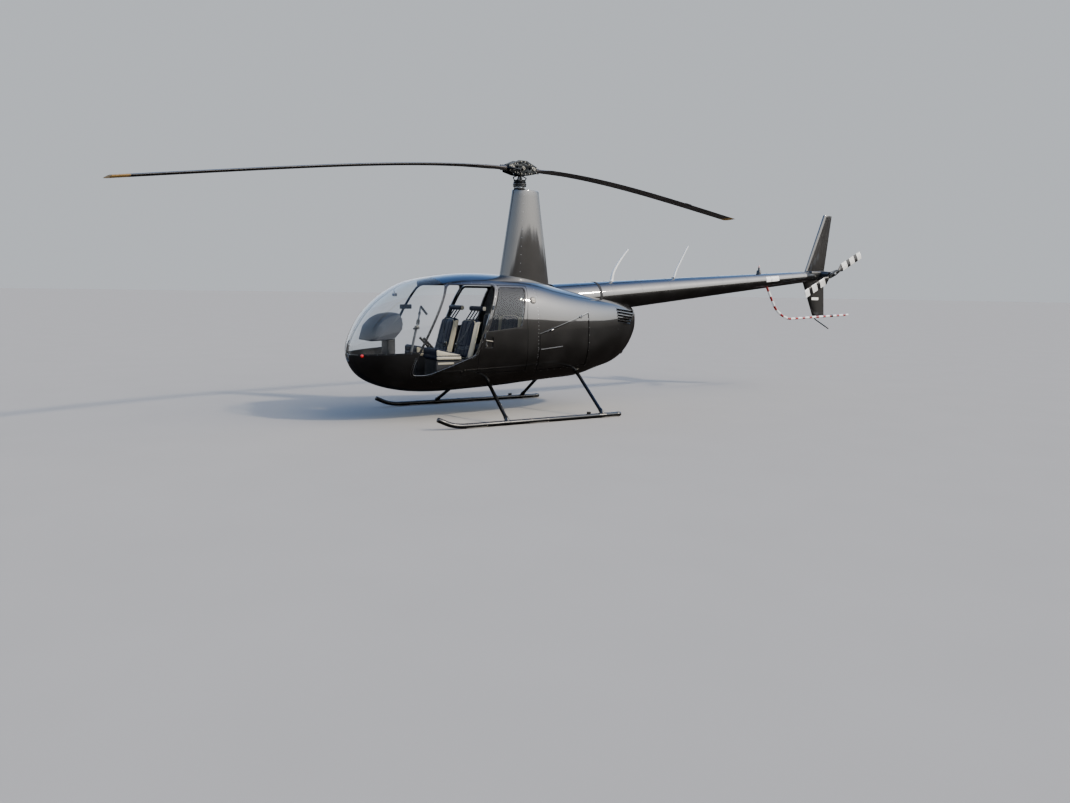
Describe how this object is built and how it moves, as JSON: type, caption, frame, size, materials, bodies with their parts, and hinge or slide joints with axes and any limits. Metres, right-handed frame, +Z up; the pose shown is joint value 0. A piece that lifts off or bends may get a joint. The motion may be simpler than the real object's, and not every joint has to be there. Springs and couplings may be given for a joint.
{
  "type": "light four-seat piston helicopter",
  "caption": "Light helicopter on skids with a teetering main rotor on a tall faired mast, glazed egg-shaped cabin with front doors off, long tail cone, fins and tail rotor.",
  "frame": {"origin": "on the ground under the middle of the rotors' overall box", "axes": "+Z up, -Y towards the nose, +X towards the helicopter's left side"},
  "size_m": [2.6451, 11.4609, 3.2924],
  "materials": {
    "black_paint": "deep gloss black enamel",
    "satin_black_paint": "satin black paint",
    "blade_paint": "matt dark grey blade paint, tan tips",
    "clear_acrylic": "clear blown acrylic",
    "navy_leather": "navy leather with cream side panels",
    "dark_plastic": "dark grained plastic and carpet",
    "steel": "grey forged and machined steel",
    "aluminium": "machined aluminium",
    "cast_metal": "plain block, hidden",
    "white_paint": "gloss white paint with dark bands",
    "red_lens": "clear red lens",
    "clear_lens": "clear lens"
  },
  "bodies": {
    "airframe": {"cabin_shell": "black_paint", "cabin_floor": "dark_plastic", "firewall": "dark_plastic", "windshield_left": "clear_acrylic", "windshield_right": "clear_acrylic", "nav_light_left": "red_lens", "nav_light_right": "clear_lens", "landing_light": "clear_lens", "front_seat_back_left": "navy_leather", "front_seat_back_right": "navy_leather", "rear_seat_back_left": "navy_leather", "rear_seat_back_right": "navy_leather", "instrument_console": "dark_plastic", "cyclic_control": "satin_black_paint", "collective_levers": "satin_black_paint", "pedals": "satin_black_paint", "upper_cowl": "black_paint", "tail_cowl": "black_paint", "mast_fairing": "satin_black_paint", "mast_tube": "aluminium", "main_gearbox": "cast_metal", "engine": "cast_metal", "tail_cone": "black_paint", "upper_fin": "black_paint", "lower_fin": "black_paint", "horizontal_stabilizer": "black_paint", "tail_gearbox": "satin_black_paint", "tail_guard": "white_paint", "tail_skid": "satin_black_paint", "beacon": "red_lens", "antenna_front": "white_paint", "antenna_rear": "white_paint", "front_cross_tube": "satin_black_paint", "rear_cross_tube": "satin_black_paint", "skid_left": "satin_black_paint", "skid_right": "satin_black_paint"},
    "rear_door_left": {"rear_door_left": "black_paint", "rear_window_left": "clear_acrylic"},
    "rear_door_right": {"rear_door_right": "black_paint", "rear_window_right": "clear_acrylic"},
    "side_cowl_left": {"side_cowl_left": "black_paint"},
    "side_cowl_right": {"side_cowl_right": "black_paint"},
    "front_seat_lid_left": {"front_cushion_left": "navy_leather"},
    "front_seat_lid_right": {"front_cushion_right": "navy_leather"},
    "rear_seat_lid_left": {"rear_cushion_left": "navy_leather"},
    "rear_seat_lid_right": {"rear_cushion_right": "navy_leather"},
    "main_rotor": {"rotor_shaft": "steel", "rotor_hub": "steel", "main_blade_a": "blade_paint", "main_blade_b": "blade_paint"},
    "tail_rotor": {"tail_rotor_hub": "steel", "tail_blade_a": "white_paint", "tail_blade_b": "white_paint"}
  },
  "joints": [
    {"name": "main_rotor_spin", "type": "hinge", "parent": "airframe", "child": "main_rotor", "pos_m": [0, -0.842, 3.182], "axis": [0, 0, 1], "continuous": true},
    {"name": "tail_rotor_spin", "type": "hinge", "parent": "airframe", "child": "tail_rotor", "pos_m": [0.28, 5.038, 1.962], "axis": [1, 0, 0], "continuous": true},
    {"name": "rear_door_left_hinge", "type": "hinge", "parent": "airframe", "child": "rear_door_left", "pos_m": [0.655, -1.67, 1.05], "axis": [0.072, -0.352, -0.9332], "range_deg": [0, 80]},
    {"name": "rear_door_right_hinge", "type": "hinge", "parent": "airframe", "child": "rear_door_right", "pos_m": [-0.655, -1.67, 1.05], "axis": [0.072, 0.352, 0.9332], "range_deg": [0, 80]},
    {"name": "side_cowl_left_hinge", "type": "hinge", "parent": "airframe", "child": "side_cowl_left", "pos_m": [0.632, -0.692, 1.116], "axis": [0.1523, -0.9402, -0.3046], "range_deg": [0, 70]},
    {"name": "side_cowl_right_hinge", "type": "hinge", "parent": "airframe", "child": "side_cowl_right", "pos_m": [-0.632, -0.692, 1.116], "axis": [0.1523, 0.9402, 0.3046], "range_deg": [0, 70]},
    {"name": "front_seat_lid_left_hinge", "type": "hinge", "parent": "airframe", "child": "front_seat_lid_left", "pos_m": [0.3125, -2.267, 0.76], "axis": [1, 0, 0], "range_deg": [0, 60]},
    {"name": "front_seat_lid_right_hinge", "type": "hinge", "parent": "airframe", "child": "front_seat_lid_right", "pos_m": [-0.3125, -2.267, 0.76], "axis": [1, 0, 0], "range_deg": [0, 60]},
    {"name": "rear_seat_lid_left_hinge", "type": "hinge", "parent": "airframe", "child": "rear_seat_lid_left", "pos_m": [0.261, -1.542, 0.76], "axis": [1, 0, 0], "range_deg": [0, 60]},
    {"name": "rear_seat_lid_right_hinge", "type": "hinge", "parent": "airframe", "child": "rear_seat_lid_right", "pos_m": [-0.261, -1.542, 0.76], "axis": [1, 0, 0], "range_deg": [0, 60]}
  ]
}
